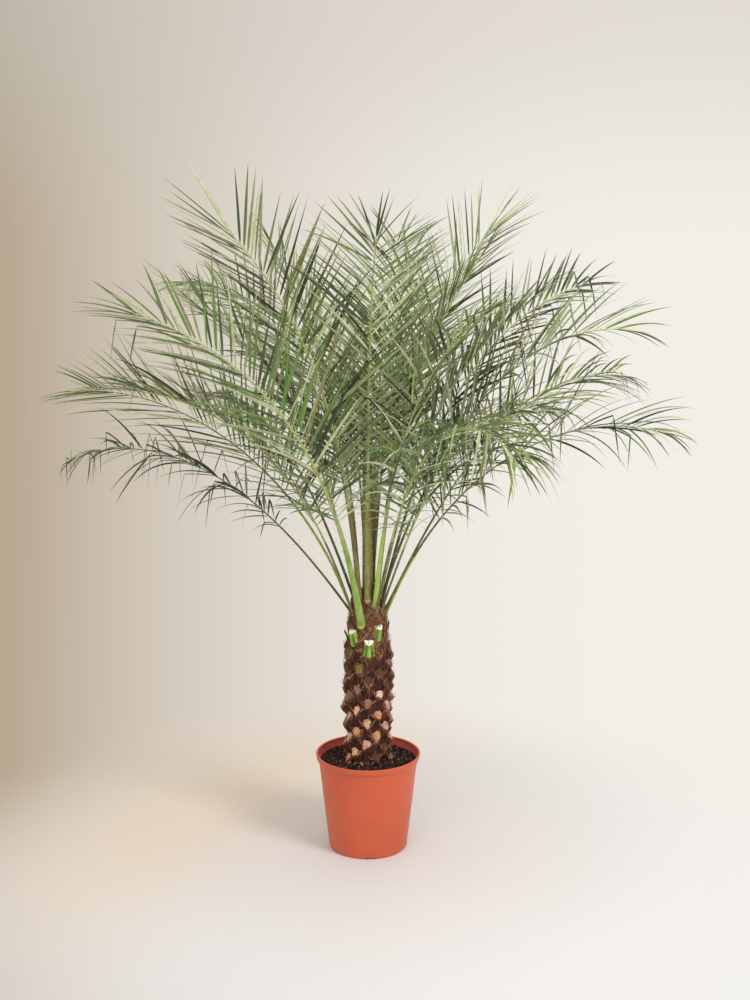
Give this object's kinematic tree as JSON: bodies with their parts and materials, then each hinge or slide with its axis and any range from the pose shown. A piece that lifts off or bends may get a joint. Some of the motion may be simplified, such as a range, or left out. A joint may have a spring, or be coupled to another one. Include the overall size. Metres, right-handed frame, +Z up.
{
  "type": "potted pygmy date palm",
  "caption": "Small feather palm with a stout scarred trunk and an arching crown of fine fronds, standing in a plain tapered nursery pot filled with soil.",
  "frame": {"origin": "centre of the pot's flat underside", "axes": "+Z up the trunk, -Y towards the front of the plant, +X to its right as seen from the front"},
  "size_m": [1.4907, 1.4545, 1.5018],
  "materials": {
    "pot_plastic": "satin terracotta-coloured moulded plastic with fine scuffs",
    "soil": "moist dark potting soil with fibre and pale flecks",
    "bark": "rough brown bark of old leaf bases with pale cut faces and hairy fibre",
    "cut_stalk": "green stalk stumps with a pale cut",
    "young_leaf": "rolled young leaf, yellow-green with rusty fibre",
    "frond": "satin green leaflets on a paler yellow-green rib"
  },
  "bodies": {
    "root": {"cut_stalk_1": "cut_stalk", "cut_stalk_2": "cut_stalk", "cut_stalk_3": "cut_stalk", "cut_stalk_4": "cut_stalk", "cut_stalk_5": "cut_stalk", "cut_stalk_6": "cut_stalk", "cut_stalk_7": "cut_stalk", "frond_01_lower": "frond", "frond_01_upper": "frond", "frond_02_lower": "frond", "frond_02_upper": "frond", "frond_03_lower": "frond", "frond_03_upper": "frond", "frond_04": "frond", "frond_05_lower": "frond", "frond_05_upper": "frond", "frond_06_lower": "frond", "frond_06_upper": "frond", "frond_07_lower": "frond", "frond_07_upper": "frond", "frond_08_lower": "frond", "frond_08_upper": "frond", "frond_09_lower": "frond", "frond_09_upper": "frond", "frond_10_lower": "frond", "frond_10_upper": "frond", "frond_11_lower": "frond", "frond_11_upper": "frond", "frond_12_lower": "frond", "frond_12_upper": "frond", "frond_13": "frond", "frond_14_lower": "frond", "frond_14_upper": "frond", "frond_15_lower": "frond", "frond_15_upper": "frond", "frond_16_lower": "frond", "frond_16_upper": "frond", "frond_17_lower": "frond", "frond_17_upper": "frond", "frond_18": "frond", "frond_19": "frond", "frond_20": "frond", "frond_21": "frond", "frond_22": "frond", "frond_23": "frond", "frond_24": "frond", "frond_25": "frond", "pot": "pot_plastic", "soil": "soil", "spear": "young_leaf", "trunk": "bark"}
  },
  "joints": []
}
